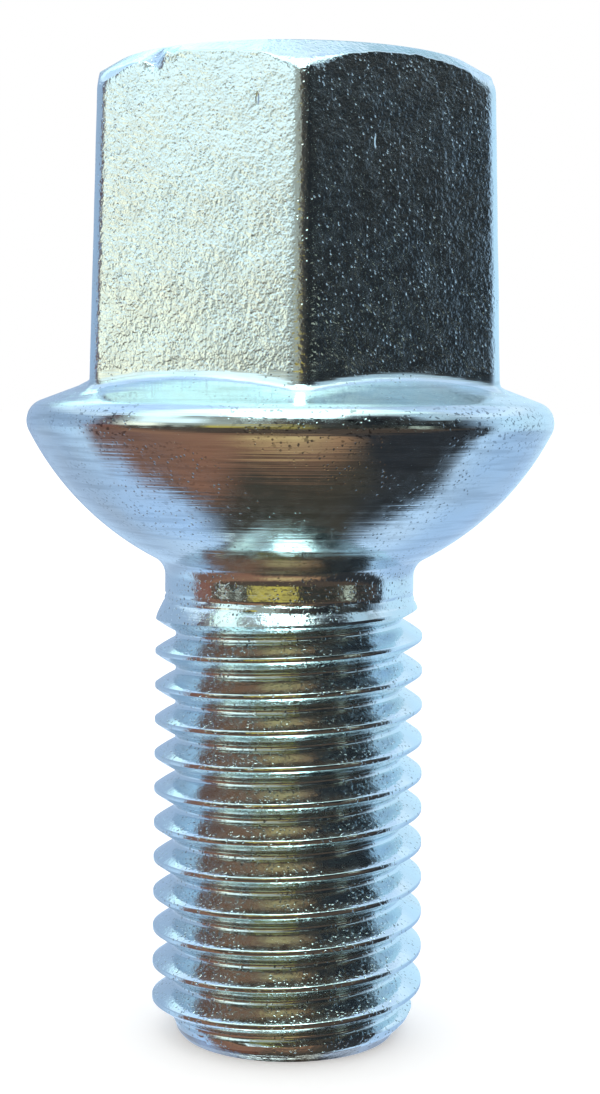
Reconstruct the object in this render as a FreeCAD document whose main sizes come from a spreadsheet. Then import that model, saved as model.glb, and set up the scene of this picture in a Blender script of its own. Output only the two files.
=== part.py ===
"""Wheel bolt with a ball seat: a cold-forged, turned and thread-rolled one-piece fastener.

The bolt stands on its threaded end. The origin is the centre of that end face, +Z runs up
the bolt's axis to the top of the hexagon head, and one corner of the hexagon points to -Y.
All sizes are in millimetres and degrees.
"""

import FreeCAD
import Part
import Sketcher

import math
import os

# Driving sizes: alias in the sheet, value, and what it measures.
SIZES = (
    ("thread_diameter", 11.8, "shank over the crests of its 12 mm fine thread"),
    ("thread_length", 17.75, "end face to where the thread's crests start to fall away"),
    ("tip_diameter", 9.3, "flat end face"),
    ("tip_chamfer_length", 1.35, "height of the chamfer at the end"),
    ("shoulder_length", 1.3, "cone from the thread's crests in to the neck"),
    ("neck_diameter", 11.0, "plain shank above the thread"),
    ("shank_length", 20.5, "end face to where the ball would meet the neck"),
    ("neck_fillet", 0.9, "hollow between the neck and the ball"),
    ("ball_radius", 13.0, "seat that centres the wheel"),
    ("flange_diameter", 23.2, "widest, over the rim"),
    ("rim_radius", 0.75, "round edge of the flange"),
    ("flange_slope", 21.0, "fall of the flange's top, below the horizontal"),
    ("overall_length", 42.3, "end face to the top of the head"),
    ("across_flats", 17.0, "hexagon, for a 17 mm socket"),
    ("hexagon_corner", 0.7, "radius of the six upright corners"),
    ("hexagon_fillet", 0.6, "hollow between the hexagon and the flange"),
    ("head_face_diameter", 15.7, "flat circle on top of the head"),
    ("head_chamfer", 30.0, "fall of the chamfer round the top, below the horizontal"),
)

SHEET = "Sizes"
PART_NAME = "wheel_bolt"

doc = FreeCAD.newDocument("WheelBolt")


def make_sheet():
    """Writes the driving sizes to the document's spreadsheet, each cell with its alias."""
    sheet = doc.addObject("Spreadsheet::Sheet", SHEET)
    for row, (alias, value, meaning) in enumerate(SIZES, start=1):
        sheet.set(f"A{row}", alias)
        sheet.set(f"B{row}", str(value))
        sheet.set(f"C{row}", meaning)
        sheet.setAlias(f"B{row}", alias)
    doc.recompute()
    return sheet


sheet = make_sheet()


def size(alias):
    """A driving size, read from the sheet."""
    return float(sheet.get(alias))


# Heights and radii that follow from the driving sizes.
thread_radius = size("thread_diameter") / 2
neck_radius = size("neck_diameter") / 2
flange_radius = size("flange_diameter") / 2
ball_radius = size("ball_radius")
rim_radius = size("rim_radius")
neck_fillet = size("neck_fillet")
slope = math.radians(size("flange_slope"))
ball_height = size("shank_length") + math.sqrt(ball_radius**2 - neck_radius**2)
rim_height = ball_height - math.sqrt((ball_radius - rim_radius) ** 2 - (flange_radius - rim_radius) ** 2)
flat_radius = size("across_flats") / 2
corner_radius = flat_radius / math.cos(math.radians(30))
head_top = size("overall_length")
head_middle = (rim_height + head_top) / 2

# The same heights as expressions of the sheet, for the sketches.
BALL_HEIGHT = f"{SHEET}.shank_length + sqrt({SHEET}.ball_radius^2 - ({SHEET}.neck_diameter / 2)^2)"
RIM_HEIGHT = (
    f"{BALL_HEIGHT} - sqrt(({SHEET}.ball_radius - {SHEET}.rim_radius)^2"
    f" - ({SHEET}.flange_diameter / 2 - {SHEET}.rim_radius)^2)"
)

ORIGIN, VERTICAL_AXIS = range(-1, -3, -1)
START, END, CENTRE = range(1, 4)


def origin_plane(body, role):
    """One of a body's own origin planes, by its role."""
    return next(f for f in body.Origin.OriginFeatures if f.Role == role)


def new_sketch(body, name, role, height=None):
    """An empty sketch on an origin plane of the body, lifted to a height given as an expression."""
    sketch = body.newObject("Sketcher::SketchObject", name)
    sketch.AttachmentSupport = [(origin_plane(body, role), "")]
    sketch.MapMode = "FlatFace"
    if height:
        sketch.setExpression("AttachmentOffset.Base.z", height)
    return sketch


def constrain(sketch, *rule):
    """Adds one constraint that needs no size."""
    return sketch.addConstraint(Sketcher.Constraint(*rule))


def dimension(sketch, name, expression, value, *rule):
    """Adds one named dimension and binds it to an expression of the sheet."""
    index = sketch.addConstraint(Sketcher.Constraint(*rule, value))
    sketch.renameConstraint(index, name)
    sketch.setExpression(f"Constraints.{name}", expression)


def line(sketch, a, b):
    """Adds a straight line between two (x, y) points of the sketch."""
    return sketch.addGeometry(Part.LineSegment(FreeCAD.Vector(*a, 0), FreeCAD.Vector(*b, 0)))


def arc(sketch, centre, a, b):
    """Adds an arc that runs anticlockwise from a to b about its centre."""
    radius = math.dist(centre, a)
    circle = Part.Circle(FreeCAD.Vector(*centre, 0), FreeCAD.Vector(0, 0, 1), radius)
    first = math.atan2(a[1] - centre[1], a[0] - centre[0])
    last = math.atan2(b[1] - centre[1], b[0] - centre[0])
    if last < first:
        last += 2 * math.pi
    return sketch.addGeometry(Part.ArcOfCircle(circle, first, last))


def turned_profile(body):
    """Half section of everything round: tip, shank, neck, ball seat, rim and sloping flange top."""
    sketch = new_sketch(body, "turned_profile", "XZ_Plane")

    # The hollow touches the neck and the ball from outside, the rim touches the ball from inside.
    hollow = (
        neck_radius + neck_fillet,
        ball_height - math.sqrt((ball_radius + neck_fillet) ** 2 - (neck_radius + neck_fillet) ** 2),
    )
    rim = (flange_radius - rim_radius, rim_height)
    ball = (0.0, ball_height)
    low_share = ball_radius / (ball_radius + neck_fillet)
    high_share = ball_radius / (ball_radius - rim_radius)
    on_ball_low = tuple(b + (h - b) * low_share for b, h in zip(ball, hollow))
    on_ball_high = tuple(b + (r - b) * high_share for b, r in zip(ball, rim))
    on_flange = (rim[0] + rim_radius * math.sin(slope), rim[1] + rim_radius * math.cos(slope))
    core_radius = neck_radius
    core_top = on_flange[1] + (on_flange[0] - core_radius) * math.tan(slope)
    tip = (size("tip_diameter") / 2, 0.0)
    chamfer = (thread_radius, size("tip_chamfer_length"))
    shoulder_low = (thread_radius, size("thread_length"))
    shoulder_high = (neck_radius, size("thread_length") + size("shoulder_length"))
    neck_top = (neck_radius, hollow[1])

    edges = [
        line(sketch, (0.0, 0.0), tip),
        line(sketch, tip, chamfer),
        line(sketch, chamfer, shoulder_low),
        line(sketch, shoulder_low, shoulder_high),
        line(sketch, shoulder_high, neck_top),
        arc(sketch, hollow, on_ball_low, neck_top),
        arc(sketch, ball, on_ball_low, on_ball_high),
        arc(sketch, rim, on_ball_high, on_flange),
        line(sketch, on_flange, (core_radius, core_top)),
        line(sketch, (core_radius, core_top), (0.0, core_top)),
        line(sketch, (0.0, core_top), (0.0, 0.0)),
    ]
    end, tip_cone, crest, shoulder, neck, hollow_arc, ball_arc, rim_arc, flange, core, axis = edges

    constrain(sketch, "Coincident", end, START, ORIGIN, START)
    constrain(sketch, "Horizontal", end)
    constrain(sketch, "Coincident", end, END, tip_cone, START)
    constrain(sketch, "Coincident", tip_cone, END, crest, START)
    constrain(sketch, "Vertical", crest)
    constrain(sketch, "Coincident", crest, END, shoulder, START)
    constrain(sketch, "Coincident", shoulder, END, neck, START)
    constrain(sketch, "Vertical", neck)
    constrain(sketch, "Tangent", neck, END, hollow_arc, END)
    constrain(sketch, "Tangent", hollow_arc, START, ball_arc, START)
    constrain(sketch, "Tangent", ball_arc, END, rim_arc, START)
    constrain(sketch, "Tangent", rim_arc, END, flange, START)
    constrain(sketch, "Coincident", flange, END, core, START)
    constrain(sketch, "Horizontal", core)
    constrain(sketch, "Coincident", core, END, axis, START)
    constrain(sketch, "Coincident", axis, END, ORIGIN, START)
    constrain(sketch, "Vertical", axis)
    constrain(sketch, "PointOnObject", ball_arc, CENTRE, VERTICAL_AXIS)

    dimension(sketch, "tip_radius", f"{SHEET}.tip_diameter / 2", tip[0], "DistanceX", end, START, end, END)
    dimension(sketch, "tip_chamfer", f"{SHEET}.tip_chamfer_length", chamfer[1],
              "DistanceY", tip_cone, START, tip_cone, END)
    dimension(sketch, "thread_radius", f"{SHEET}.thread_diameter / 2", thread_radius,
              "DistanceX", ORIGIN, START, crest, START)
    dimension(sketch, "thread_length", f"{SHEET}.thread_length", size("thread_length"),
              "DistanceY", ORIGIN, START, crest, END)
    dimension(sketch, "shoulder_length", f"{SHEET}.shoulder_length", size("shoulder_length"),
              "DistanceY", shoulder, START, shoulder, END)
    dimension(sketch, "neck_radius", f"{SHEET}.neck_diameter / 2", neck_radius,
              "DistanceX", ORIGIN, START, neck, START)
    dimension(sketch, "neck_fillet", f"{SHEET}.neck_fillet", neck_fillet, "Radius", hollow_arc)
    dimension(sketch, "ball_radius", f"{SHEET}.ball_radius", ball_radius, "Radius", ball_arc)
    dimension(sketch, "ball_height", BALL_HEIGHT, ball_height, "DistanceY", ORIGIN, START, ball_arc, CENTRE)
    dimension(sketch, "rim_radius", f"{SHEET}.rim_radius", rim_radius, "Radius", rim_arc)
    dimension(sketch, "rim_centre", f"{SHEET}.flange_diameter / 2 - {SHEET}.rim_radius", rim[0],
              "DistanceX", ORIGIN, START, rim_arc, CENTRE)
    dimension(sketch, "flange_slope", f"180 - {SHEET}.flange_slope", math.pi - slope, "Angle", flange)
    dimension(sketch, "core_radius", f"{SHEET}.neck_diameter / 2", core_radius,
              "DistanceX", ORIGIN, START, flange, END)
    return sketch


def revolve(body, kind, name, sketch):
    """Turns a sketch once round the bolt's axis, to add material or to cut it."""
    feature = body.newObject(kind, name)
    feature.Profile = sketch
    feature.ReferenceAxis = (sketch, ["V_Axis"])
    feature.Angle = 360.0
    doc.recompute()
    return feature


def hexagon_outline(body):
    """Outline of the head's hexagon at the level of the rim, with one corner on -Y."""
    sketch = new_sketch(body, "hexagon_outline", "XY_Plane", RIM_HEIGHT)
    angles = [math.radians(60 * i - 90) for i in range(6)]
    corners = [(corner_radius * math.cos(a), corner_radius * math.sin(a)) for a in angles]
    sides = [line(sketch, corners[i], corners[(i + 1) % 6]) for i in range(6)]
    around = Part.Circle(FreeCAD.Vector(0, 0, 0), FreeCAD.Vector(0, 0, 1), corner_radius)
    circle = sketch.addGeometry(around, True)
    constrain(sketch, "Coincident", circle, CENTRE, ORIGIN, START)
    for i, side in enumerate(sides):
        constrain(sketch, "Coincident", side, END, sides[(i + 1) % 6], START)
        constrain(sketch, "PointOnObject", side, START, circle)
        if i:
            constrain(sketch, "Equal", sides[0], side)
    constrain(sketch, "PointOnObject", sides[0], START, VERTICAL_AXIS)
    dimension(sketch, "corner_radius", f"{SHEET}.across_flats / 2 / cos(30 deg)", corner_radius,
              "Radius", circle)
    return sketch


def hexagon_head(body):
    """Raises the hexagon from inside the flange to the top of the head."""
    pad = body.newObject("PartDesign::Pad", "hexagon_head")
    pad.Profile = hexagon_outline(body)
    pad.setExpression("Length", f"{SHEET}.overall_length - ({RIM_HEIGHT})")
    doc.recompute()
    return pad


def edge_names(feature, wanted):
    """Names of the feature's edges that pass a test."""
    return [f"Edge{i}" for i, edge in enumerate(feature.Shape.Edges, start=1) if wanted(edge)]


def is_upright_corner(edge):
    """True for the six edges that climb the hexagon's corners."""
    is_tall = edge.BoundBox.ZLength > head_top - head_middle
    return is_tall and all(math.hypot(v.X, v.Y) > flat_radius for v in edge.Vertexes)


def is_hexagon_foot(edge):
    """True for the edges where the hexagon stands on the sloping top of the flange."""
    is_low = rim_height < edge.BoundBox.ZMin and edge.BoundBox.ZMax < head_middle
    inside = flat_radius - size("hexagon_corner")
    return is_low and all(inside < math.hypot(v.X, v.Y) < corner_radius for v in edge.Vertexes)


def round_edges(body, name, feature, wanted, alias):
    """Rounds the edges of a feature that pass a test."""
    fillet = body.newObject("PartDesign::Fillet", name)
    fillet.Base = (feature, edge_names(feature, wanted))
    fillet.setExpression("Radius", f"{SHEET}.{alias}")
    doc.recompute()
    return fillet


def chamfer_profile(body):
    """Section of the ring cut away round the top of the head, a triangle outside the sloping chamfer."""
    sketch = new_sketch(body, "head_chamfer_profile", "XZ_Plane")
    fall = math.radians(size("head_chamfer"))
    inner = (size("head_face_diameter") / 2, head_top)
    outer = (flange_radius, head_top)
    lower = (flange_radius, head_top - (outer[0] - inner[0]) * math.tan(fall))
    lid = line(sketch, outer, inner)
    cone = line(sketch, inner, lower)
    wall = line(sketch, lower, outer)
    constrain(sketch, "Coincident", lid, END, cone, START)
    constrain(sketch, "Coincident", cone, END, wall, START)
    constrain(sketch, "Coincident", wall, END, lid, START)
    constrain(sketch, "Horizontal", lid)
    constrain(sketch, "Vertical", wall)
    dimension(sketch, "face_radius", f"{SHEET}.head_face_diameter / 2", inner[0],
              "DistanceX", ORIGIN, START, lid, END)
    dimension(sketch, "outer_radius", f"{SHEET}.flange_diameter / 2", outer[0],
              "DistanceX", ORIGIN, START, lid, START)
    dimension(sketch, "top_height", f"{SHEET}.overall_length", head_top,
              "DistanceY", ORIGIN, START, lid, START)
    dimension(sketch, "chamfer_fall", f"-{SHEET}.head_chamfer", -fall, "Angle", cone)
    return sketch


def check_document(features):
    """Stops if an object is in error, a shape is empty or broken, or a cut took nothing away."""
    for item in doc.Objects:
        if "Invalid" in item.State or "Error" in item.State:
            raise RuntimeError(f"{item.Name} is in state {item.State}")
    for feature in features:
        if feature.Shape.isNull() or not feature.Shape.isValid():
            raise RuntimeError(f"{feature.Name} has no valid shape")
    for before, after in zip(features, features[1:]):
        if after.TypeId == "PartDesign::Groove" and after.Shape.Volume >= before.Shape.Volume:
            raise RuntimeError(f"{after.Name} cut nothing away")


body = doc.addObject("PartDesign::Body", PART_NAME)
body.Label = PART_NAME
turned = revolve(body, "PartDesign::Revolution", "turned_body", turned_profile(body))
head = hexagon_head(body)
corners = round_edges(body, "hexagon_corners", head, is_upright_corner, "hexagon_corner")
chamfered = revolve(body, "PartDesign::Groove", "head_chamfer", chamfer_profile(body))
foot = round_edges(body, "hexagon_foot", chamfered, is_hexagon_foot, "hexagon_fillet")

check_document([turned, head, corners, chamfered, foot])
os.makedirs("parts", exist_ok=True)
body.Shape.exportStep(f"parts/{PART_NAME}.step")
print(PART_NAME, round(body.Shape.Volume, 1), "mm3,", len(body.Shape.Faces), "faces")
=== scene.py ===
"""Dresses the wheel bolt: forged hexagon head, turned ball seat and rolled thread, in bright zinc.

The skin is modelled in millimetres in the part's own frame (+Z up the bolt, end face at z = 0, one
hexagon corner towards -Y) and is brought to metres once it is whole.
"""

import logging
import math
from dataclasses import dataclass, field
from enum import IntEnum

import bpy
import numpy as np
from mathutils import Matrix, Vector, noise


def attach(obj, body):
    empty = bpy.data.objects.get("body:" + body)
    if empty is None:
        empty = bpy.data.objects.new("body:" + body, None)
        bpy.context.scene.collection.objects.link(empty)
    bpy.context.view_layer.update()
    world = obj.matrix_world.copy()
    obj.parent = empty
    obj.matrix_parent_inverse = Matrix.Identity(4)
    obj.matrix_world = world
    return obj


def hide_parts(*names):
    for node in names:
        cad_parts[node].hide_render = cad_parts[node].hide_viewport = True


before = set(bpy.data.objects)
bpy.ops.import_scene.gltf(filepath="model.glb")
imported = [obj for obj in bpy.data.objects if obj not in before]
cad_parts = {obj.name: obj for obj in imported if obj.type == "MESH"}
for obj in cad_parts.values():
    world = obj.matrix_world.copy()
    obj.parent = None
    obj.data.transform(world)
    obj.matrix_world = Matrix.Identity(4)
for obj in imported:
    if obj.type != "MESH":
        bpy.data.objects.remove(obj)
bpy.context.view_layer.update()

LOG = logging.getLogger("wheel_bolt")
NODE = "wheel_bolt"
BODY = "root"
MILLIMETRE = 0.001
IMAGE_SIZE = (600, 1094)
SECTOR_DEGREES = 60.0
SMOOTH_ANGLE = math.radians(35.0)
CUT_TOLERANCE = 0.0001
# Past every azimuth of the tent, in degrees, and past every edge of the mat, in heights.
ROUND = 400.0
WIDE = 40.0


class Zone(IntEnum):
    """How a stretch of the bolt was made, which is also its material slot on the skin."""

    FORGED = 0
    TURNED = 1
    ROLLED = 2
    CUT = 3


def deselect_all() -> None:
    """Leaves edit mode and deselects every object."""
    if bpy.context.object and bpy.context.object.mode != "OBJECT":
        bpy.ops.object.mode_set(mode="OBJECT")
    bpy.ops.object.select_all(action="DESELECT")


def edit(piece: bpy.types.Object) -> None:
    """Selects one piece alone and enters edit mode on it.

    Args:
        piece: a mesh object.
    """
    deselect_all()
    piece.select_set(True)
    bpy.context.view_layer.objects.active = piece
    bpy.ops.object.mode_set(mode="EDIT")


def coordinates(piece: bpy.types.Object) -> np.ndarray:
    """Reads a mesh's vertices.

    Args:
        piece: a mesh object in object mode.

    Returns:
        An array of shape (vertices, 3).
    """
    points = np.empty(len(piece.data.vertices) * 3)
    piece.data.vertices.foreach_get("co", points)
    return points.reshape(-1, 3)


def place(piece: bpy.types.Object, points: np.ndarray) -> None:
    """Writes a mesh's vertices back.

    Args:
        piece: a mesh object in object mode.
        points: one row of x, y, z for each vertex.
    """
    piece.data.vertices.foreach_set("co", points.reshape(-1))
    piece.data.update()


def smoothstep(low: float, high: float, value: np.ndarray) -> np.ndarray:
    """Rises smoothly from 0 at low to 1 at high."""
    share = np.clip((value - low) / (high - low), 0.0, 1.0)
    return share * share * (3.0 - 2.0 * share)


def band(value: np.ndarray, limits: tuple[float, float], soft: float) -> np.ndarray:
    """Gives 1 between two limits and 0 outside them, with soft edges.

    Args:
        value: what is compared with the limits.
        limits: the lower and the upper limit.
        soft: how far an edge reaches to each side of its limit.

    Returns:
        A share for each value.
    """
    low, high = limits
    return smoothstep(low - soft, low + soft, value) * (1 - smoothstep(high - soft, high + soft, value))


@dataclass
class HexagonHead:
    """The forged hexagon, its chamfered top and the hollow at its foot, in millimetres."""

    across_flats: float = 17.14
    corner_round: float = 1.0
    draft: float = 0.017
    draft_level: float = 35.5
    top: float = 42.3
    face_rings: tuple[float, ...] = (0.8, 3.0, 5.0, 6.5, 7.2)
    face_radius: float = 7.85
    face_soft: float = 0.15
    edge_soft: float = 0.06
    corner_soft: float = 0.6
    corner_zone: tuple[float, float] = (0.4, 1.1)
    chamfer: float = math.radians(30.0)
    foot_fillet: float = 0.6
    burr: float = 0.04
    burr_lift: float = 0.4
    burr_most: float = 1.2
    ragged: float = 0.14
    ragged_step: float = 9.0
    ragged_layer: float = 3.0
    ragged_octaves: int = 4
    waviness: float = 0.018
    wave_step: float = 0.45
    side_rows: int = 46
    fillet_rows: int = 8

    def reach(self, angle: np.ndarray) -> np.ndarray:
        """Distance from the axis to the rounded hexagon.

        Args:
            angle: directions about the axis, in radians, with a corner at -90 degrees.

        Returns:
            The radius in each direction.
        """
        sector = math.radians(SECTOR_DEGREES)
        off = np.abs((angle + math.pi / 2 + sector / 2) % sector - sector / 2)
        flat = self.across_flats / 2
        centre = (flat - self.corner_round) / math.cos(sector / 2)
        edge = math.atan2(
            self.corner_round * math.sin(sector / 2),
            centre + self.corner_round * math.cos(sector / 2),
        )
        on_flat = flat / np.cos(sector / 2 - off)
        inside = np.maximum(self.corner_round**2 - (centre * np.sin(off)) ** 2, 0.0)
        on_round = centre * np.cos(off) + np.sqrt(inside)
        return np.where(off < edge, on_round, on_flat)

    def raggedness(self, angle: np.ndarray) -> np.ndarray:
        """How unevenly the chamfer's edge runs.

        Args:
            angle: the direction of each column.

        Returns:
            A value of about -0.5 to 0.5 in each direction.
        """
        step = self.ragged_step
        spots = [Vector((math.cos(a) * step, math.sin(a) * step, self.ragged_layer)) for a in angle]
        return np.array([noise.turbulence(spot, self.ragged_octaves, True) - 0.5 for spot in spots])

    def rows(self, angle: np.ndarray, flange: "FlangeAndSeat") -> list[tuple[np.ndarray, np.ndarray]]:
        """Rings of the head from the middle of its top face down to the flange.

        Args:
            angle: the direction of each column.
            flange: what the hexagon stands on.

        Returns:
            One (radius, height) pair for each ring.
        """
        reach = self.reach(angle)
        whole = np.ones_like(angle)
        rings = [(whole * r, whole * self.top) for r in self.face_rings]
        slope = math.tan(self.chamfer)
        rough = self.raggedness(angle)
        flat = self.across_flats / 2
        corner = smoothstep(flat + self.corner_zone[0], flat + self.corner_zone[1], reach)
        edge = self.top - (reach - self.face_radius) * slope + self.ragged * rough * (1 - corner)
        # The top face's edge, then the chamfer's, which is crisp on the flats and soft at the corners.
        rings += self.bend(
            (whole * (self.face_radius - self.face_soft), whole * self.top),
            (whole * self.face_radius, whole * self.top),
            (whole * (self.face_radius + self.face_soft), whole * (self.top - self.face_soft * slope)),
        )
        soft = self.edge_soft + (self.corner_soft - self.edge_soft) * corner
        crest = self.burr * np.clip(self.burr_lift + rough, 0.0, self.burr_most) * (1 - corner)
        rings += self.bend(
            (reach - soft, edge + soft * slope),
            (reach + crest, edge + crest),
            (reach, edge - soft),
        )
        foot = flange.slope_height(reach + self.foot_fillet) + self.foot_fillet / math.cos(flange.slope)
        for share in np.linspace(0.0, 1.0, self.side_rows + 1)[1:]:
            rings.append((reach, (edge - soft) + share * (foot - edge + soft)))
        sweep = math.pi / 2 - flange.slope
        for turn in np.linspace(math.pi, math.pi + sweep, self.fillet_rows + 1)[1:]:
            rings.append((
                reach + self.foot_fillet + self.foot_fillet * math.cos(turn),
                foot + self.foot_fillet * math.sin(turn),
            ))
        return [(self.forged(angle, r, h), h) for r, h in rings]

    @staticmethod
    def bend(
        start: tuple[np.ndarray, np.ndarray],
        corner: tuple[np.ndarray, np.ndarray],
        end: tuple[np.ndarray, np.ndarray],
        rows: int = 6,
    ) -> list[tuple[np.ndarray, np.ndarray]]:
        """Rings of a soft edge that leaves one surface at start and meets the next at end.

        Args:
            start: radius and height where the bend begins.
            corner: where the two surfaces would meet.
            end: where the bend stops.
            rows: steps along the bend.

        Returns:
            One (radius, height) pair for each ring.
        """
        rings = []
        for t in np.linspace(0.0, 1.0, rows + 1):
            weights = ((1 - t) ** 2, 2 * t * (1 - t), t * t)
            ring = [sum(w * p[i] for w, p in zip(weights, (start, corner, end))) for i in (0, 1)]
            rings.append((ring[0], ring[1]))
        return rings

    def forged(self, angle: np.ndarray, radius: np.ndarray, height: np.ndarray) -> np.ndarray:
        """Adds the die's draft and the waviness of a forging to a ring's radius.

        Args:
            angle: the direction of each column.
            radius: the ring's radius before forging marks.
            height: the ring's height.

        Returns:
            The radius with draft and waves.
        """
        step = self.wave_step
        wave = np.array([
            noise.noise(Vector((step * r * math.cos(a), step * r * math.sin(a), step * h)))
            for a, r, h in zip(angle, radius, height)
        ])
        on_side = smoothstep(self.face_radius, self.across_flats / 2, radius)
        return radius + on_side * ((self.draft_level - height) * self.draft + wave * self.waviness)


@dataclass
class FlangeAndSeat:
    """The sloping flange, its rim, the ball seat and the neck, in millimetres."""

    neck_radius: float = 5.5
    neck_end: float = 19.3
    shank_length: float = 20.35
    neck_fillet: float = 0.9
    ball_radius: float = 13.0
    flange_radius: float = 11.65
    rim_radius: float = 0.95
    slope: float = math.radians(21.0)
    slope_rows: int = 7
    rim_rows: int = 14
    ball_rows: int = 44
    fillet_rows: int = 10
    neck_rows: int = 3

    def ball_height(self) -> float:
        """Height of the ball's centre on the axis."""
        return self.shank_length + math.sqrt(self.ball_radius**2 - self.neck_radius**2)

    def rim_centre(self) -> tuple[float, float]:
        """Finds the centre of the rim's round, which touches the ball from inside.

        Returns:
            Its radius and height in the section.
        """
        radius = self.flange_radius - self.rim_radius
        drop = math.sqrt((self.ball_radius - self.rim_radius) ** 2 - radius**2)
        return radius, self.ball_height() - drop

    def hollow_centre(self) -> tuple[float, float]:
        """Finds the centre of the hollow, which touches the neck and the ball from outside.

        Returns:
            Its radius and height in the section.
        """
        radius = self.neck_radius + self.neck_fillet
        drop = math.sqrt((self.ball_radius + self.neck_fillet) ** 2 - radius**2)
        return radius, self.ball_height() - drop

    def slope_height(self, radius: np.ndarray) -> np.ndarray:
        """Follows the flange's sloping top.

        Args:
            radius: distance from the axis.

        Returns:
            The height there.
        """
        centre, height = self.rim_centre()
        start = centre + self.rim_radius * math.sin(self.slope)
        base = height + self.rim_radius * math.cos(self.slope)
        return base + (start - radius) * math.tan(self.slope)

    def rows(self, inner: np.ndarray) -> list[tuple[np.ndarray, np.ndarray]]:
        """Rings from the foot of the hexagon out over the rim and down the ball to the neck.

        Args:
            inner: where the sloping top starts, one radius for each column.

        Returns:
            One (radius, height) pair for each ring.
        """
        whole = np.ones_like(inner)
        rings = []
        rim, rim_height = self.rim_centre()
        outer = rim + self.rim_radius * math.sin(self.slope)
        for row in range(1, self.slope_rows):
            radius = inner + (outer - inner) * row / self.slope_rows
            rings.append((radius, self.slope_height(radius)))
        ball = self.ball_height()
        high = math.atan2(rim_height - ball, rim)
        for turn in np.linspace(math.pi / 2 - self.slope, high, self.rim_rows + 1):
            rings.append((
                whole * (rim + self.rim_radius * math.cos(turn)),
                whole * (rim_height + self.rim_radius * math.sin(turn)),
            ))
        hollow, hollow_height = self.hollow_centre()
        low = math.atan2(hollow_height - ball, hollow)
        for turn in np.linspace(high, low, self.ball_rows + 1)[1:]:
            rings.append((
                whole * self.ball_radius * math.cos(turn),
                whole * (ball + self.ball_radius * math.sin(turn)),
            ))
        for turn in np.linspace(math.pi + low, math.pi, self.fillet_rows + 1)[1:]:
            rings.append((
                whole * (hollow + self.neck_fillet * math.cos(turn)),
                whole * (hollow_height + self.neck_fillet * math.sin(turn)),
            ))
        for height in np.linspace(hollow_height, self.neck_end, self.neck_rows + 1)[1:]:
            rings.append((whole * self.neck_radius, whole * height))
        return rings


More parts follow.
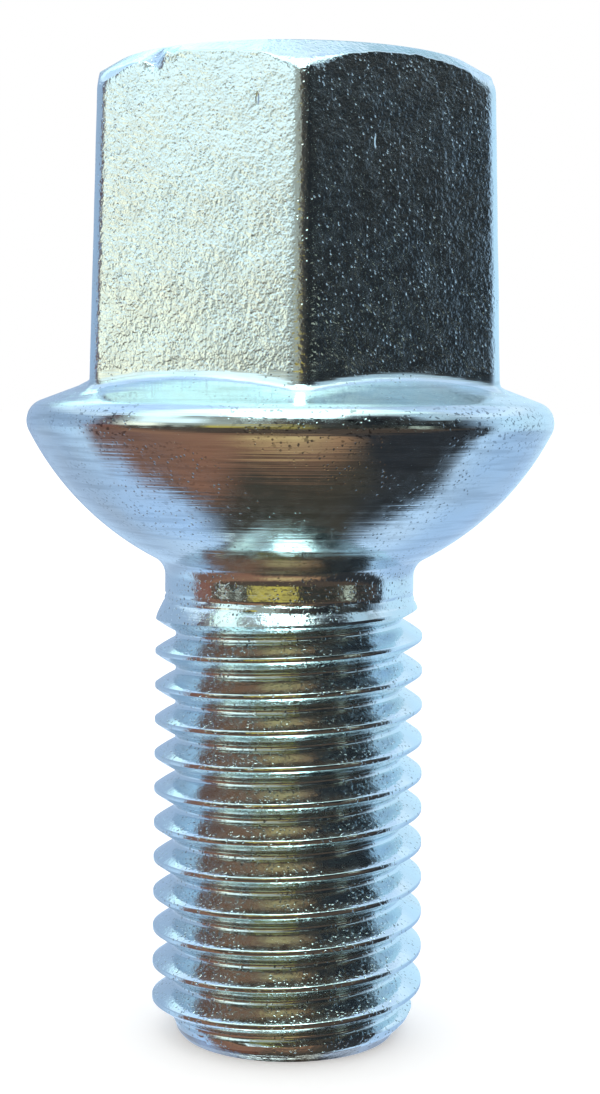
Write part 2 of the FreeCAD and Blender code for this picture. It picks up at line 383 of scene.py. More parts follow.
@dataclass
class ThreadedShank:
    """The rolled right-hand thread with its run-out and chamfered end, in millimetres."""

    crest_radius: float = 5.9
    root_radius: float = 5.0
    pitch: float = 1.5
    crest_flat: float = 0.12
    crest_round: float = 0.06
    root_round: float = 0.2
    flank_lean: float = math.radians(30.0)
    flank_dome: float = 0.02
    root_points: int = 5
    flank_points: tuple[float, ...] = (0.25, 0.5, 0.75)
    crest_points: int = 4
    last_groove: float = 17.955
    fade: float = math.radians(200.0)
    neck_radius: float = 5.5
    shoulder_low: float = 17.75
    shoulder_high: float = 19.05
    shoulder_rings: tuple[float, ...] = (19.0, 18.72)
    ring_depth: float = 0.04
    ring_width: float = 0.06
    tip_radius: float = 4.65
    tip_chamfer: float = 1.35
    tip_bite: float = 0.3
    tip_lip: tuple[float, float] = (0.05, 0.4)
    turns: int = 14
    columns: int = 160
    weld: float = 0.002
    cut_top: float = 19.2

    def section(self) -> list[tuple[float, float]]:
        """One pitch of the thread from the middle of a groove to the middle of the next.

        Returns:
            (radius, height) points, the first at height 0 and the last one pitch higher.
        """
        half = []
        lean = self.flank_lean
        # Root arc, straight flank, crest arc and half the crest flat.
        for turn in np.linspace(0.0, math.pi / 2 - lean, self.root_points):
            half.append((
                self.root_radius + self.root_round * (1 - math.cos(turn)),
                self.root_round * math.sin(turn),
            ))
        top = self.pitch / 2
        foot = half[-1]
        head = (
            self.crest_radius - self.crest_round * (1 - math.sin(lean)),
            top - self.crest_flat / 2 - self.crest_round * math.cos(lean),
        )
        for share in self.flank_points:
            bulge = self.flank_dome * 4 * share * (1 - share)
            half.append((
                foot[0] + share * (head[0] - foot[0]) + bulge * math.sin(lean),
                foot[1] + share * (head[1] - foot[1]) - bulge * math.cos(lean),
            ))
        for turn in np.linspace(math.pi / 2 - lean, 0.0, self.crest_points):
            half.append((
                self.crest_radius - self.crest_round * (1 - math.cos(turn)),
                top - self.crest_flat / 2 - self.crest_round * math.sin(turn),
            ))
        half.append((self.crest_radius, top))
        mirrored = [(r, self.pitch - h) for r, h in reversed(half[:-1])]
        return half + mirrored

    def envelope(self, height: np.ndarray) -> np.ndarray:
        """Follows the blank: chamfered end, crests, shoulder and neck.

        Args:
            height: distance from the end face.

        Returns:
            The radius there.
        """
        tip = self.tip_radius + (self.crest_radius - self.tip_radius) * height / self.tip_chamfer
        fall = smoothstep(self.shoulder_low, self.shoulder_high, height)
        body = self.crest_radius + (self.neck_radius - self.crest_radius) * fall
        for ring in self.shoulder_rings:
            body = body - self.ring_depth * np.exp(-(((height - ring) / self.ring_width) ** 2))
        return np.minimum(tip, body)

    def build(self) -> bpy.types.Object:
        """Screws the section up the shank, lets the groove fade out and trims both ends.

        Returns:
            A mesh object, open at the neck and closed at the end face.
        """
        deselect_all()
        bpy.ops.mesh.primitive_plane_add(size=1.0)
        piece = bpy.context.object
        piece.name = "threaded_shank"
        bpy.ops.object.mode_set(mode="EDIT")
        bpy.ops.mesh.select_all(action="SELECT")
        bpy.ops.mesh.merge(type="CENTER")
        section = self.section()
        start = self.last_groove - (self.turns - 1) * self.pitch
        bpy.ops.transform.translate(value=(section[0][0], 0.0, start))
        for (r0, h0), (r1, h1) in zip(section, section[1:]):
            bpy.ops.mesh.extrude_region_move(
                TRANSFORM_OT_translate={"value": (r1 - r0, 0.0, h1 - h0)}
            )
        bpy.ops.object.mode_set(mode="OBJECT")
        screw = piece.modifiers.new("thread", "SCREW")
        screw.axis = "Z"
        screw.angle = math.tau
        screw.screw_offset = self.pitch
        screw.iterations = self.turns
        screw.steps = self.columns
        screw.render_steps = self.columns
        bpy.ops.object.modifier_apply(modifier=screw.name)
        edit(piece)
        bpy.ops.mesh.select_all(action="SELECT")
        bpy.ops.mesh.remove_doubles(threshold=self.weld)
        bpy.ops.object.mode_set(mode="OBJECT")
        self.shape(piece)
        edit(piece)
        bpy.ops.mesh.select_all(action="SELECT")
        bpy.ops.mesh.bisect(
            plane_co=(0, 0, self.cut_top), plane_no=(0, 0, 1), clear_outer=True,
            threshold=CUT_TOLERANCE,
        )
        bpy.ops.mesh.select_all(action="SELECT")
        bpy.ops.mesh.bisect(
            plane_co=(0, 0, 0), plane_no=(0, 0, 1), clear_inner=True, use_fill=True,
            threshold=CUT_TOLERANCE,
        )
        bpy.ops.object.mode_set(mode="OBJECT")
        return piece

    def shape(self, piece: bpy.types.Object) -> None:
        """Lets the last groove rise out of the shank and keeps the thread inside the blank.

        Args:
            piece: the screwed mesh.
        """
        points = coordinates(piece)
        radius = np.hypot(points[:, 0], points[:, 1])
        angle = np.arctan2(points[:, 1], points[:, 0]) % math.tau
        height = points[:, 2]
        groove = np.rint((height - self.last_groove) / self.pitch - angle / math.tau)
        depth = np.where(groove < 0, 1.0, 0.0)
        depth = np.where(groove == 0, 1.0 - smoothstep(0.0, self.fade, angle), depth)
        blank = self.envelope(height)
        bite = self.tip_bite * smoothstep(self.tip_lip[0], self.tip_lip[1], height)
        bite = np.where(height < self.tip_chamfer, bite * (self.crest_radius - radius), 0.0)
        wanted = blank - depth * np.maximum(blank - radius, bite)
        points[:, :2] *= (wanted / radius)[:, None]
        place(piece, points)


@dataclass(frozen=True)
class Dent:
    """A knock in the skin, in millimetres."""

    place: tuple[float, float, float]
    radius: float
    push: tuple[float, float, float]

    def press(self, points: np.ndarray) -> None:
        """Pushes the points near the knock, most in its middle.

        Args:
            points: the skin's vertices, changed in place.
        """
        away = np.linalg.norm(points - np.array(self.place), axis=1)
        points += (1 - smoothstep(0.0, self.radius, away))[:, None] * np.array(self.push)


@dataclass
class BoltSkin:
    """The whole bolt as one closed skin that stands for the solid."""

    head: HexagonHead = field(default_factory=HexagonHead)
    seat: FlangeAndSeat = field(default_factory=FlangeAndSeat)
    shank: ThreadedShank = field(default_factory=ThreadedShank)
    dents: tuple[Dent, ...] = (
        Dent((-6.1, -6.3, 41.7), 0.6, (0.1, 0.16, -0.32)),
        Dent((-5.5, -6.6, 41.75), 0.4, (-0.02, -0.05, 0.1)),
        Dent((-2.98, -5.09, 14.6), 0.4, (-0.03, -0.06, -0.05)),
        Dent((-1.55, -5.69, 14.5), 0.35, (0.03, 0.14, 0.02)),
        Dent((4.9, -3.3, 9.0), 0.35, (-0.12, 0.08, 0.0)),
        Dent((1.9, -5.6, 11.2), 0.3, (-0.03, 0.1, 0.0)),
    )
    columns_per_side: int = 46
    crowding: float = 1.6
    forged_margin: float = 0.3
    cut_share: float = 0.33

    def column_angles(self) -> np.ndarray:
        """Sets out the columns, closer together at the hexagon's corners.

        Returns:
            Their directions, in radians.
        """
        half = self.columns_per_side // 2
        share = np.arange(-half, half) / half
        off = np.radians(SECTOR_DEGREES / 2) * np.sign(share) * np.abs(share) ** self.crowding
        return np.concatenate([off + math.radians(SECTOR_DEGREES * i - 90.0) for i in range(6)])

    def build_rings(self) -> bpy.types.Object:
        """Extrudes a circle ring by ring and sets each ring to the section of the bolt.

        Returns:
            A mesh object, closed at the head's top and open at the neck.
        """
        angle = self.column_angles()
        rings = self.head.rows(angle, self.seat)
        rings += self.seat.rows(rings[-1][0])
        deselect_all()
        bpy.ops.mesh.primitive_circle_add(vertices=len(angle), radius=1.0, fill_type="NGON")
        piece = bpy.context.object
        piece.name = "head_and_seat"
        bpy.ops.object.mode_set(mode="EDIT")
        bpy.ops.mesh.select_all(action="SELECT")
        bpy.ops.mesh.select_mode(type="EDGE")
        bpy.ops.mesh.region_to_loop()
        for _ in rings[1:]:
            bpy.ops.mesh.extrude_edges_move(TRANSFORM_OT_translate={"value": (0.0, 0.0, -1.0)})
        bpy.ops.mesh.select_mode(type="VERT")
        bpy.ops.object.mode_set(mode="OBJECT")
        points = coordinates(piece)
        ring = np.rint(-points[:, 2]).astype(int)
        turn = np.arctan2(points[:, 1], points[:, 0])
        count = len(angle)
        column = np.rint(turn / math.tau * count).astype(int) % count
        order = np.argsort(angle % math.tau)
        direction = (angle % math.tau)[order][column]
        radius = np.stack([r for r, _ in rings])[ring, order[column]]
        height = np.stack([h for _, h in rings])[ring, order[column]]
        place(piece, np.stack([radius * np.cos(direction), radius * np.sin(direction), height], 1))
        return piece

    def build(self) -> bpy.types.Object:
        """Joins head, seat and shank into one closed skin at the neck, in metres.

        Returns:
            The finished skin.
        """
        upper = self.build_rings()
        LOG.info("head and seat: %d faces", len(upper.data.polygons))
        lower = self.shank.build()
        LOG.info("threaded shank: %d faces", len(lower.data.polygons))
        deselect_all()
        lower.select_set(True)
        upper.select_set(True)
        bpy.context.view_layer.objects.active = upper
        bpy.ops.object.join()
        skin = bpy.context.object
        skin.name = "wheel_bolt_skin"
        edit(skin)
        bpy.ops.mesh.select_mode(type="EDGE")
        bpy.ops.mesh.select_all(action="DESELECT")
        bpy.ops.mesh.select_non_manifold(
            extend=False, use_wire=False, use_multi_face=False, use_non_contiguous=False, use_verts=False
        )
        bpy.ops.mesh.bridge_edge_loops()
        bpy.ops.mesh.select_mode(type="VERT")
        bpy.ops.mesh.select_all(action="SELECT")
        bpy.ops.mesh.normals_make_consistent(inside=False)
        bpy.ops.object.mode_set(mode="OBJECT")
        points = coordinates(skin)
        for dent in self.dents:
            dent.press(points)
        place(skin, points)
        skin.data.transform(Matrix.Scale(MILLIMETRE, 4))
        return skin

    def dress(self, skin: bpy.types.Object) -> None:
        """Gives each stretch of the skin the finish of the way it was made, with painted shade and a
        painted reflection on the cut end.

        Args:
            skin: the finished skin, in metres.
        """
        effects = Effects()
        finishes = {
            Zone.FORGED: ZincFinish(
                "zinc_forged", roughness=(0.1, 0.2), grain_depth=0.027, pit_depth=0.012, pit_dark=0.0,
                scratch_depth=0.03,
            ),
            Zone.TURNED: ZincFinish(
                "zinc_turned", roughness=(0.1, 0.2), line_depth=0.009, speck_dark=0.75, streak_dark=0.22,
            ),
            Zone.ROLLED: ZincFinish(
                "zinc_rolled", roughness=(0.08, 0.18), line_depth=0.003, grain_depth=0.008,
                pit_depth=0.03, nodule_height=0.009,
            ),
            # The cut end's darker grey colour is painted shade, and its brown cloud tone is a painted
            # reflection of the brown mat below; its lines, grain and roughness are the cut finish.
            Zone.CUT: ZincFinish(
                "zinc_cut_painted_shade", colour=(0.46, 0.48, 0.5), stain_and_painted_reflection=(0.4, 0.34, 0.29), roughness=(0.14, 0.28),
                line_depth=0.012, grain_depth=0.012,
            ),
        }
        for zone in Zone:
            skin.data.materials.append(finishes[zone].make(effects))
        flat = self.head.across_flats / 2
        forged_from = (self.seat.slope_height(flat) + self.forged_margin) * MILLIMETRE
        turned_from = self.seat.shank_length * MILLIMETRE
        rolled_from = self.shank.tip_chamfer * MILLIMETRE * self.cut_share
        for face in skin.data.polygons:
            height = face.center.z
            if height > forged_from:
                face.material_index = Zone.FORGED
            elif height > turned_from:
                face.material_index = Zone.TURNED
            elif height > rolled_from:
                face.material_index = Zone.ROLLED
            else:
                face.material_index = Zone.CUT

    def smooth(self, skin: bpy.types.Object) -> None:
        """Shades the skin smooth and leaves its sharp edges sharp.

        Args:
            skin: the finished skin.
        """
        deselect_all()
        skin.select_set(True)
        bpy.context.view_layer.objects.active = skin
        bpy.ops.object.shade_smooth_by_angle(angle=SMOOTH_ANGLE)


class Graph:
    """A small helper that adds nodes to a tree and links them."""

    def __init__(self, tree: bpy.types.NodeTree) -> None:
        """Keeps the tree that the nodes go into."""
        self.tree = tree

    def node(self, kind: str, **settings: object) -> bpy.types.Node:
        """Adds a node.

        Args:
            kind: the node's type name.
            settings: properties of the node, such as operation.

        Returns:
            The new node.
        """
        node = self.tree.nodes.new(kind)
        for name, value in settings.items():
            setattr(node, name, value)
        return node

    def link(self, source: bpy.types.NodeSocket, target: bpy.types.NodeSocket) -> None:
        """Links an output to an input."""
        self.tree.links.new(source, target)

    def math(self, operation: str, first: object, second: object = 0.0) -> bpy.types.NodeSocket:
        """Adds a sum on two values, each a socket or a number.

        Args:
            operation: the Math node's operation.
            first: its first value.
            second: its second value.

        Returns:
            The node's result.
        """
        node = self.node("ShaderNodeMath", operation=operation)
        for socket, value in zip(node.inputs, (first, second)):
            if isinstance(value, bpy.types.NodeSocket):
                self.link(value, socket)
            else:
                socket.default_value = value
        return node.outputs[0]

    def spread(
        self, value: bpy.types.NodeSocket, low: float, high: float, to: tuple[float, float] = (0.0, 1.0)
    ) -> bpy.types.NodeSocket:
        """Maps a value from low..high to another range, clamped and eased.

        Args:
            value: the socket to map.
            low: the value that gives the first number of the new range.
            high: the value that gives the second.
            to: the new range.

        Returns:
            The mapped value.
        """
        node = self.node("ShaderNodeMapRange", interpolation_type="SMOOTHSTEP", clamp=True)
        self.link(value, node.inputs["Value"])
        node.inputs["From Min"].default_value = low
        node.inputs["From Max"].default_value = high
        node.inputs["To Min"].default_value = to[0]
        node.inputs["To Max"].default_value = to[1]
        return node.outputs[0]

    def mapped(
        self, stretch: tuple[float, float, float], turn: tuple[float, float, float] = (0.0, 0.0, 0.0)
    ) -> bpy.types.NodeSocket:
        """Object coordinates multiplied along each axis and turned.

        Args:
            stretch: repeats to a metre along x, y and z.
            turn: angles about x, y and z, in radians.

        Returns:
            The stretched vector.
        """
        place_node = self.node("ShaderNodeTexCoord")
        mapping = self.node("ShaderNodeMapping")
        self.link(place_node.outputs["Object"], mapping.inputs["Vector"])
        mapping.inputs["Scale"].default_value = stretch
        mapping.inputs["Rotation"].default_value = turn
        return mapping.outputs["Vector"]

    def noise(self, vector: bpy.types.NodeSocket, detail: float, rough: float) -> bpy.types.NodeSocket:
        """Adds a noise texture on a vector that already has its scale.

        Args:
            vector: the place to look up.
            detail: how many finer layers it has.
            rough: how strong the finer layers are.

        Returns:
            The noise as a value about 0.5.
        """
        node = self.node("ShaderNodeTexNoise")
        self.link(vector, node.inputs["Vector"])
        node.inputs["Scale"].default_value = 1.0
        node.inputs["Detail"].default_value = detail
        node.inputs["Roughness"].default_value = rough
        return node.outputs["Fac"]

    def dots(
        self,
        vector: bpy.types.NodeSocket,
        channel: str,
        chosen: tuple[float, float],
        size: tuple[float, float],
    ) -> bpy.types.NodeSocket:
        """Adds a dot in some of the cells of a Voronoi texture.

        Args:
            vector: the place to look up, which already has its scale.
            channel: the part of a cell's chance colour that chooses it.
            chosen: values of that colour from which a cell starts to have a dot and has it whole.
            size: where a dot's edge starts and ends, in cells.

        Returns:
            A mask, 1 in a dot.
        """
        cells = self.node("ShaderNodeTexVoronoi")
        self.link(vector, cells.inputs["Vector"])
        cells.inputs["Scale"].default_value = 1.0
        split = self.node("ShaderNodeSeparateColor")
        self.link(cells.outputs["Color"], split.inputs["Color"])
        some = self.spread(split.outputs[channel], *chosen)
        dots = self.spread(cells.outputs["Distance"], *size, (1.0, 0.0))
        return self.math("MULTIPLY", dots, some)


def per_metre(millimetres: float) -> tuple[float, float, float]:
    """Repeats to a metre for a texture cell of so many millimetres."""
    return (1.0 / (millimetres * MILLIMETRE),) * 3


def start_group(name: str, outputs: tuple[str, ...]) -> tuple[Graph, bpy.types.Node]:
    """Starts a shared effect.

    Args:
        name: the group's name.
        outputs: the names of the values that it puts out.

    Returns:
        The group's graph and its output node.
    """
    tree = bpy.data.node_groups.new(name, "ShaderNodeTree")
    for output in outputs:
        tree.interface.new_socket(output, in_out="OUTPUT", socket_type="NodeSocketFloat")
    graph = Graph(tree)
    return graph, graph.node("NodeGroupOutput")


@dataclass(frozen=True)
class ForgedGrain:
    """Shared effect: the pebbled skin of forged steel; cells in millimetres."""

    coarse: float = 1.1
    coarse_share: float = 0.9
    fine: float = 0.19

    def make(self) -> bpy.types.NodeTree:
        """Builds the group.

        Returns:
            A group with the height of the grain.
        """
        graph, out = start_group("forged_grain", ("Height",))
        coarse = graph.noise(graph.mapped(per_metre(self.coarse)), detail=0.0, rough=0.5)
        fine = graph.noise(graph.mapped(per_metre(self.fine)), detail=1.5, rough=0.6)
        height = graph.math("ADD", graph.math("MULTIPLY", coarse, self.coarse_share), fine)
        graph.link(height, out.inputs["Height"])
        return graph.tree


@dataclass(frozen=True)
class TurningLines:
    """Shared effect: the fine rings that a turning tool leaves round the axis; repeats to a metre."""

    rings: tuple[float, float, float] = (120.0, 120.0, 9000.0)
    wander: tuple[float, float, float] = (150.0, 150.0, 2200.0)
    wander_share: float = 1.4

    def make(self) -> bpy.types.NodeTree:
        """Builds the group.

        Returns:
            A group with the height of the rings.
        """
        graph, out = start_group("turning_lines", ("Height",))
        rings = graph.noise(graph.mapped(self.rings), detail=1.0, rough=0.7)
        wander = graph.noise(graph.mapped(self.wander), detail=1.0, rough=0.5)
        height = graph.math("ADD", rings, graph.math("MULTIPLY", wander, self.wander_share))
        graph.link(height, out.inputs["Height"])
        return graph.tree


@dataclass(frozen=True)
class PlatingPits:
    """Shared effect: pinholes, nodules and specks in the plating; cells and heights in millimetres."""

    cell: float = 0.17
    pit_chosen: tuple[float, float] = (0.6, 0.8)
    pit_size: tuple[float, float] = (0.14, 0.34)
    patch: float = 2.4
    patch_span: tuple[float, float] = (0.3, 0.55)
    nodule: float = 0.15
    nodule_span: tuple[float, float] = (0.65, 0.74)
    speck: tuple[float, float, float] = (4200.0, 4200.0, 8000.0)
    speck_span: tuple[float, float] = (0.57, 0.68)
    under_rim: tuple[float, float] = (25.2, 26.7)
    under_share: float = 0.34
    over_rim: tuple[float, float] = (27.0, 27.6)
    over_share: float = 0.1

    def make(self) -> bpy.types.NodeTree:
        """Builds the group.

        Returns:
            A group with masks of the pits, of the nodules and of the specks, which crowd at the rim.
        """
        graph, out = start_group("plating_pits", ("Pit", "Nodule", "Speck"))
        patches = graph.noise(graph.mapped(per_metre(self.patch)), detail=0.0, rough=0.5)
        patches = graph.spread(patches, *self.patch_span)
        pits = graph.dots(graph.mapped(per_metre(self.cell)), "Red", self.pit_chosen, self.pit_size)
        nodules = graph.noise(graph.mapped(per_metre(self.nodule)), detail=0.0, rough=0.5)
        nodules = graph.spread(nodules, *self.nodule_span)
        specks = graph.noise(graph.mapped(self.speck), detail=1.0, rough=0.6)
        specks = graph.math("MULTIPLY", graph.spread(specks, *self.speck_span), self.near_rim(graph))
        for name, mask in (("Pit", pits), ("Nodule", nodules), ("Speck", specks)):
            graph.link(graph.math("MULTIPLY", mask, patches), out.inputs[name])
        return graph.tree

    def near_rim(self, graph: Graph) -> bpy.types.NodeSocket:
        """A mask that is 1 at the flange's rim and falls off above and below it.

        Args:
            graph: the group's graph.

        Returns:
            The mask.
        """
        axes = graph.node("ShaderNodeSeparateXYZ")
        graph.link(graph.node("ShaderNodeTexCoord").outputs["Object"], axes.inputs["Vector"])
        low, high = (height * MILLIMETRE for height in self.under_rim)
        below = graph.spread(axes.outputs["Z"], low, high, (self.under_share, 1.0))
        low, high = (height * MILLIMETRE for height in self.over_rim)
        above = graph.spread(axes.outputs["Z"], low, high, (1.0, self.over_share))
        return graph.math("MULTIPLY", below, above)


@dataclass(frozen=True)
class HandlingScratches:
    """Shared effect: a few short handling scratches; repeats to a metre."""

    stretch: tuple[float, float, float] = (1100.0, 1100.0, 330.0)
    turn: tuple[float, float, float] = (0.4, 0.5, 0.0)
    chosen: tuple[float, float] = (0.9, 0.93)
    width: tuple[float, float] = (0.04, 0.12)

    def make(self) -> bpy.types.NodeTree:
        """Builds the group.

        Returns:
            A group with a mask of the scratches, 1 in a scratch.
        """
        graph, out = start_group("handling_scratches", ("Mark",))
        marks = graph.dots(graph.mapped(self.stretch, self.turn), "Green", self.chosen, self.width)
        graph.link(marks, out.inputs["Mark"])
        return graph.tree


class Effects:
    """The shared effects, each made once."""

    def __init__(self) -> None:
        """Builds the groups."""
        self.groups = {
            "grain": ForgedGrain().make(),
            "lines": TurningLines().make(),
            "pits": PlatingPits().make(),
            "scratches": HandlingScratches().make(),
        }

    def put(self, graph: Graph, name: str, output: str) -> bpy.types.NodeSocket:
        """Places an effect in a material, once.

        Args:
            graph: the material's graph.
            name: the effect.
            output: the value that is wanted from it.

        Returns:
            That value's socket.
        """
        node = graph.tree.nodes.get(name)
        if node is None:
            node = graph.node("ShaderNodeGroup", node_tree=self.groups[name], name=name)
        return node.outputs[output]


@dataclass(frozen=True)
class ZincFinish:
    """Bright zinc plate over a worked steel surface; depths in millimetres."""

    name: str
    colour: tuple[float, float, float] = (0.66, 0.78, 0.82)
    # The tone that the clouds mix in: a real stain on most stretches, a painted reflection of the brown
    # mat on the cut end.
    stain_and_painted_reflection: tuple[float, float, float] = (0.67, 0.76, 0.77)
    roughness: tuple[float, float] = (0.2, 0.34)
    grain_depth: float = 0.0
    line_depth: float = 0.0
    pit_depth: float = 0.01
    pit_dark: float = 0.6
    speck_dark: float = 0.0
    streak_dark: float = 0.0
    nodule_height: float = 0.0
    scratch_depth: float = 0.0
    pit_colour: tuple[float, float, float] = (0.12, 0.13, 0.15)
    cloud: float = 2.2
    cloud_span: tuple[float, float] = (0.35, 0.7)
    streak: tuple[float, float, float] = (240.0, 240.0, 4600.0)
    streak_span: tuple[float, float] = (0.44, 0.7)
    sheen: float = 0.5
    sheen_span: tuple[float, float] = (0.3, 0.7)

    def make(self, effects: Effects) -> bpy.types.Material:
        """Builds the material.

        Args:
            effects: the shared groups.

        Returns:
            A material with its own shader.
        """
        material = bpy.data.materials.new(self.name)
        material.use_nodes = True
        graph = Graph(material.node_tree)
        shader = material.node_tree.nodes["Principled BSDF"]
        shader.inputs["Metallic"].default_value = 1.0
        graph.link(self.tint(graph, effects), shader.inputs["Base Color"])
        sheen = graph.noise(graph.mapped(per_metre(self.sheen)), detail=1.0, rough=0.6)
        graph.link(graph.spread(sheen, *self.sheen_span, self.roughness), shader.inputs["Roughness"])
        bump = graph.node("ShaderNodeBump")
        bump.inputs["Strength"].default_value = 1.0
        bump.inputs["Distance"].default_value = 1.0
        graph.link(self.relief(graph, effects), bump.inputs["Height"])
        graph.link(bump.outputs["Normal"], shader.inputs["Normal"])
        return material

    def tint(self, graph: Graph, effects: Effects) -> bpy.types.NodeSocket:
        """Clouds the plating and darkens its pits, specks and streaks.

        Args:
            graph: the material's graph.
            effects: the shared groups.

        Returns:
            The colour.
        """
        clouds = graph.noise(graph.mapped(per_metre(self.cloud)), detail=1.0, rough=0.55)
        tone = graph.node("ShaderNodeMix", data_type="RGBA")
        graph.link(graph.spread(clouds, *self.cloud_span), tone.inputs["Factor"])
        tone.inputs["A"].default_value = (*self.colour, 1.0)
        tone.inputs["B"].default_value = (*self.stain_and_painted_reflection, 1.0)
        dark = graph.math("MULTIPLY", effects.put(graph, "pits", "Pit"), self.pit_dark)
        if self.speck_dark:
            specks = graph.math("MULTIPLY", effects.put(graph, "pits", "Speck"), self.speck_dark)
            dark = graph.math("MAXIMUM", dark, specks)
        if self.streak_dark:
            streaks = graph.noise(graph.mapped(self.streak), detail=2.0, rough=0.6)
            dull = graph.spread(streaks, *self.streak_span, (0.0, self.streak_dark))
            dark = graph.math("MAXIMUM", dark, dull)
        pitted = graph.node("ShaderNodeMix", data_type="RGBA", blend_type="MULTIPLY")
        graph.link(dark, pitted.inputs["Factor"])
        graph.link(tone.outputs["Result"], pitted.inputs["A"])
        pitted.inputs["B"].default_value = (*self.pit_colour, 1.0)
        return pitted.outputs["Result"]

    def relief(self, graph: Graph, effects: Effects) -> bpy.types.NodeSocket:
        """Adds up the heights of what roughens the plating.

        Args:
            graph: the material's graph.
            effects: the shared groups.

        Returns:
            The height in metres.
        """
        layers = (
            ("grain", "Height", self.grain_depth),
            ("lines", "Height", self.line_depth),
            ("pits", "Nodule", self.nodule_height),
            ("scratches", "Mark", -self.scratch_depth),
        )
        height = graph.math("MULTIPLY", effects.put(graph, "pits", "Pit"), -self.pit_depth * MILLIMETRE)
        for effect, output, depth in layers:
            if depth:
                layer = graph.math("MULTIPLY", effects.put(graph, effect, output), depth * MILLIMETRE)
                height = graph.math("ADD", height, layer)
        return height


@dataclass(frozen=True)
class Glow:
    """A patch of the light tent; azimuth from the front, positive to the right, in degrees."""

    azimuth: tuple[float, float]
    elevation: tuple[float, float]
    colour: tuple[float, float, float]
    soft: float = 8.0

    def share(self, azimuth: np.ndarray, elevation: np.ndarray) -> np.ndarray:
        """How much of each direction the patch covers, 0 to 1, with soft edges."""
        return band(azimuth, self.azimuth, self.soft) * band(elevation, self.elevation, self.soft)


@dataclass(frozen=True)
class MatGlow:
    """A patch of the mat below the bolt, in heights to the right of and behind what mirrors it."""

    right: tuple[float, float]
    behind: tuple[float, float]
    colour: tuple[float, float, float]
    soft: float = 0.1
    horizon: tuple[float, float] = (-2.0, -6.0)
    steepest: float = 89.9

    def share(self, azimuth: np.ndarray, elevation: np.ndarray) -> np.ndarray:
        """How much of each direction the patch covers, with soft edges.

        Args:
            azimuth: directions from the front, positive to the right, in degrees.
            elevation: directions above the horizon, in degrees.

        Returns:
            A share from 0 to 1 for each direction.
        """
        below = np.clip(-elevation, 1.0, self.steepest)
        reach = 1.0 / np.tan(np.radians(below))
        right = reach * np.sin(np.radians(azimuth))
        behind = -reach * np.cos(np.radians(azimuth))
        inside = band(right, self.right, self.soft) * band(behind, self.behind, self.soft)
        return inside * smoothstep(*self.horizon, elevation)


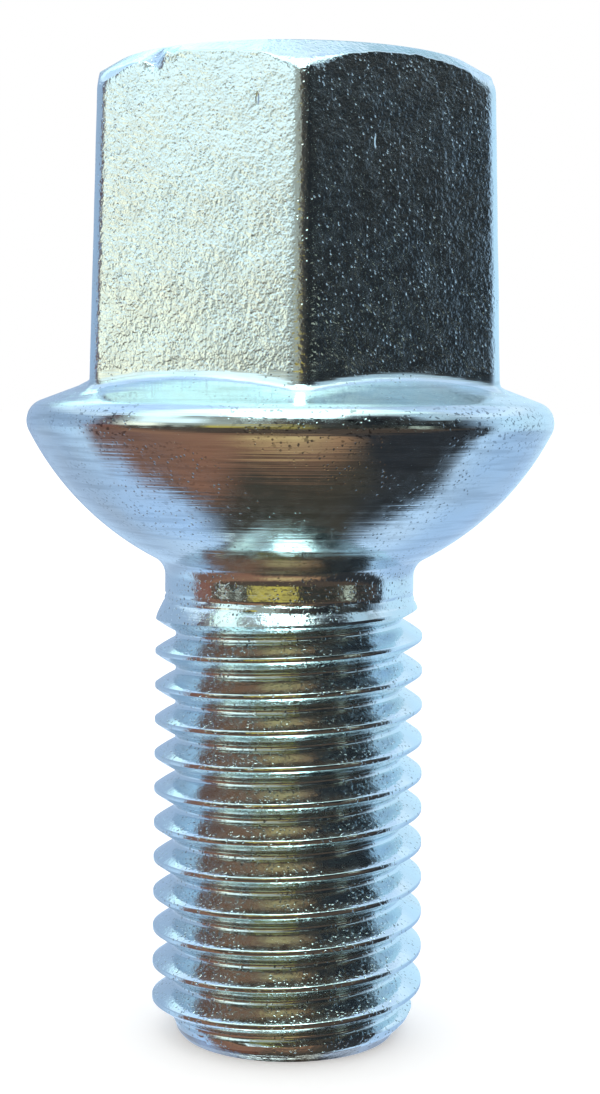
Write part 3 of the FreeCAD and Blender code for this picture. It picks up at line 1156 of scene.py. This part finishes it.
@dataclass
class LightTent:
    """A tent of soft light that only the metal's reflections see."""

    radius: float = 400.0
    centre: float = 25.0
    segments: int = 240
    rings: int = 120
    base: tuple[float, float, float] = (0.62, 0.82, 1.07)
    glows: tuple[Glow | MatGlow, ...] = (
        # Cool light from above, more cyan behind and in front than at the sides.
        Glow((-ROUND, ROUND), (24, 120), (1.06, 1.24, 1.42), 14.0),
        Glow((-ROUND, -146), (26, 52), (1.3, 2.1, 1.95), 10.0),
        Glow((150, ROUND), (26, 52), (0.44, 0.68, 0.84), 10.0),
        Glow((88, 150), (34, 80), (0.72, 0.9, 1.16), 8.0),
        Glow((-150, -88), (34, 80), (0.76, 0.98, 1.34), 8.0),
        Glow((-85, 85), (50, 82), (1.65, 2.1, 1.95), 8.0),
        # Paler blue behind on the right than on the left, and duller below.
        Glow((95, 170), (-12, 22), (0.72, 0.98, 1.2), 8.0),
        Glow((-ROUND, ROUND), (-120, -30), (0.7, 0.9, 1.18), 20.0),
        Glow((-150, -88), (-80, -36), (0.54, 0.74, 1.08), 8.0),
        Glow((-ROUND, -84), (-12, 24), (0.42, 0.55, 0.76), 6.0),
        Glow((-165, -125), (-42, -10), (0.46, 0.57, 0.76), 12.0),
        Glow((108, 165), (-46, -12), (0.48, 0.66, 0.94), 10.0),
        Glow((-92, -78), (-2, 34), (0.14, 0.08, 0.09), 4.0),
        # In front: brown on the left, dark on the right, with a pale patch on the left.
        Glow((-78, 50), (-4, 40), (0.17, 0.13, 0.1), 6.0),
        Glow((-4, 50), (-4, 40), (0.07, 0.065, 0.06), 8.0),
        Glow((20, 84), (-22, 46), (0.02, 0.024, 0.028), 16.0),
        Glow((-78, -12), (-7, 36), (0.44, 0.46, 0.41), 9.0),
        Glow((-76, -59), (-6, 10), (1.42, 1.36, 1.06), 5.0),
        Glow((-78, -57), (-8, 1), (1.85, 1.76, 1.42), 4.0),
        Glow((-72, -40), (10, 30), (1.22, 1.4, 1.42), 6.0),
        Glow((40, 76), (12, 30), (0.055, 0.055, 0.054), 6.0),
        # What the flange's top sees by way of the hexagon's faces.
        Glow((-80, -54), (29, 50), (1.35, 1.75, 1.65), 4.0),
        Glow((58, 80), (25, 50), (0.56, 0.73, 0.86), 4.0),
        # What the ball's foot sees by way of the thread.
        Glow((-27, 18), (43, 60), (9.4, 11.8, 11.2), 9.0),
        # The mat below: brown on the left, dark in the middle and on the right, bright past its edge.
        MatGlow((-WIDE, WIDE), (-WIDE, 0.17), (0.07, 0.06, 0.048), 0.09),
        MatGlow((-0.36, 0.36), (-WIDE, 0.4), (0.07, 0.06, 0.048), 0.12),
        MatGlow((-1.0, -0.35), (-WIDE, 0.08), (0.32, 0.15, 0.1), 0.14),
        MatGlow((-WIDE, -0.72), (-WIDE, 0.3), (0.28, 0.14, 0.1), 0.14),
        MatGlow((-WIDE, -1.15), (-WIDE, 0.6), (0.24, 0.125, 0.1), 0.18),
        MatGlow((-WIDE, 0.3), (-WIDE, -0.42), (0.34, 0.17, 0.11), 0.2),
        MatGlow((-0.35, 0.62), (-1.0, -0.56), (0.46, 0.25, 0.14), 0.12),
        MatGlow((0.46, WIDE), (-WIDE, 0.16), (0.035, 0.037, 0.043), 0.14),
        MatGlow((0.3, 0.94), (-0.06, 0.31), (0.04, 0.042, 0.046), 0.1),
        MatGlow((-WIDE, WIDE), (-WIDE, -1.2), (0.1, 0.07, 0.055), 0.3),
        MatGlow((-0.46, 0.16), (-1.05, -0.68), (0.78, 0.56, 0.26), 0.22),
        MatGlow((-0.22, 0.18), (0.37, 0.66), (3.0, 3.7, 3.5), 0.05),
        # What the neck mirrors just under the horizon.
        Glow((-98, -76), (-9.5, -2), (0.3, 0.12, 0.09), 2.5),
        Glow((-76, -38), (-9.5, -2), (0.06, 0.06, 0.05), 2.5),
        Glow((-67, -63), (-8, -3), (1.1, 1.1, 0.95), 1.5),
        Glow((-51, -48), (-8, -3), (1.0, 1.0, 0.85), 1.5),
        Glow((-38, 6), (-9.5, -2), (0.72, 0.56, 0.12), 2.5),
        Glow((6, 46), (-9.5, -2), (0.04, 0.04, 0.035), 2.5),
        Glow((48, 57), (-8, -3), (1.0, 1.1, 0.9), 2.0),
        Glow((59, 76), (-9.5, -2), (0.04, 0.04, 0.04), 2.5),
    )

    def build(self) -> None:
        """Makes the tent, a sphere with its glow painted on its points."""
        deselect_all()
        bpy.ops.mesh.primitive_uv_sphere_add(
            segments=self.segments, ring_count=self.rings, radius=self.radius * MILLIMETRE,
            location=(0.0, 0.0, self.centre * MILLIMETRE),
        )
        tent = bpy.context.object
        tent.name = "light_tent"
        self.paint(tent)
        tent.data.materials.append(self.light())
        tent.visible_camera = False
        tent.visible_diffuse = False
        tent.visible_shadow = False
        tent.visible_transmission = False

    def paint(self, tent: bpy.types.Object) -> None:
        """Lays the glows over each other on the tent's points.

        Args:
            tent: the sphere, which gets a colour attribute.
        """
        points = coordinates(tent) / (self.radius * MILLIMETRE)
        azimuth = np.degrees(np.arctan2(points[:, 0], -points[:, 1]))
        elevation = np.degrees(np.arcsin(np.clip(points[:, 2], -1.0, 1.0)))
        colour = np.tile(np.array(self.base), (len(points), 1))
        for glow in self.glows:
            share = glow.share(azimuth, elevation)[:, None]
            colour = colour * (1 - share) + np.array(glow.colour) * share
        paint = tent.data.color_attributes.new("glow", "FLOAT_COLOR", "POINT")
        paint.data.foreach_set("color", np.hstack([colour, np.ones((len(points), 1))]).ravel())

    def light(self) -> bpy.types.Material:
        """Makes the tent's material, which glows as it is painted.

        Returns:
            The material.
        """
        material = bpy.data.materials.new("tent_light")
        material.use_nodes = True
        material.cycles.emission_sampling = "NONE"
        graph = Graph(material.node_tree)
        graph.tree.nodes.remove(graph.tree.nodes["Principled BSDF"])
        glow = graph.node("ShaderNodeAttribute", attribute_name="glow")
        light = graph.node("ShaderNodeEmission")
        graph.link(glow.outputs["Color"], light.inputs["Color"])
        graph.link(light.outputs[0], graph.tree.nodes["Material Output"].inputs["Surface"])
        return material


@dataclass
class Studio:
    """Camera, floor and soft light, in millimetres from the bolt's end face."""

    distance: float = 87.7
    eye_height: float = 28.07
    tilt: float = 0.035
    roll: float = 0.0072
    twist: float = 0.0454
    focal_pixels: float = 1968.97
    axis_pixel: tuple[float, float] = (291.2, 318.93)
    sensor: float = 36.0
    clip: tuple[float, float] = (1.0, 20000.0)
    floor_size: float = 4000.0
    floor_tone: float = 0.97
    floor_glow: float = 0.3
    tent: LightTent = field(default_factory=LightTent)

    def camera(self) -> None:
        """Sets the camera to the photograph's view."""
        width, height = IMAGE_SIZE
        data = bpy.data.cameras.new("camera")
        data.sensor_fit = "AUTO"
        data.sensor_width = self.sensor
        data.lens = self.focal_pixels * data.sensor_width / height
        data.shift_x = (width / 2 - self.axis_pixel[0]) / height
        data.shift_y = (self.axis_pixel[1] - height / 2) / height
        data.clip_start = self.clip[0] * MILLIMETRE
        data.clip_end = self.clip[1] * MILLIMETRE
        camera = bpy.data.objects.new("camera", data)
        bpy.context.scene.collection.objects.link(camera)
        spot = Vector((0.0, -self.distance, self.eye_height)) * MILLIMETRE
        camera.matrix_world = (
            Matrix.Rotation(-self.twist, 4, "Z")
            @ Matrix.Translation(spot)
            @ Matrix.Rotation(math.pi / 2 + self.tilt, 4, "X")
            @ Matrix.Rotation(self.roll, 4, "Z")
        )
        bpy.context.scene.camera = camera

    def world(self) -> None:
        """A plain white surround."""
        world = bpy.data.worlds.new("studio")
        world.use_nodes = True
        world.node_tree.nodes["Background"].inputs["Color"].default_value = (1.0, 1.0, 1.0, 1.0)
        world.node_tree.nodes["Background"].inputs["Strength"].default_value = 1.0
        bpy.context.scene.world = world

    def floor(self) -> None:
        """A pale floor under the bolt, which the metal doesn't mirror."""
        deselect_all()
        bpy.ops.mesh.primitive_plane_add(size=self.floor_size * MILLIMETRE)
        floor = bpy.context.object
        floor.name = "floor"
        material = bpy.data.materials.new("pale_floor")
        material.use_nodes = True
        shader = material.node_tree.nodes["Principled BSDF"]
        shader.inputs["Base Color"].default_value = (*(self.floor_tone,) * 3, 1.0)
        shader.inputs["Roughness"].default_value = 1.0
        shader.inputs["Specular IOR Level"].default_value = 0.0
        graph = Graph(material.node_tree)
        rays = graph.node("ShaderNodeLightPath")
        seen = graph.math("MAXIMUM", rays.outputs["Is Glossy Ray"], rays.outputs["Is Transmission Ray"])
        seen = graph.math("MAXIMUM", rays.outputs["Is Camera Ray"], seen)
        graph.link(seen, shader.inputs["Emission Color"])
        shader.inputs["Emission Strength"].default_value = self.floor_glow
        floor.data.materials.append(material)
        floor.visible_glossy = False

    def build(self) -> None:
        """Sets up the whole stage."""
        self.camera()
        self.world()
        self.floor()
        self.tent.build()


def main() -> None:
    """Builds the bolt's skin, dresses it and sets the stage."""
    logging.basicConfig(level=logging.INFO)
    scene = bpy.context.scene
    scene.view_settings.view_transform = "Standard"
    bolt = BoltSkin()
    skin = bolt.build()
    bolt.dress(skin)
    bolt.smooth(skin)
    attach(skin, BODY)
    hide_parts(NODE)
    LOG.info("%s: %d triangles", skin.name, sum(len(p.vertices) - 2 for p in skin.data.polygons))
    Studio().build()


if __name__ == "__main__":
    main()
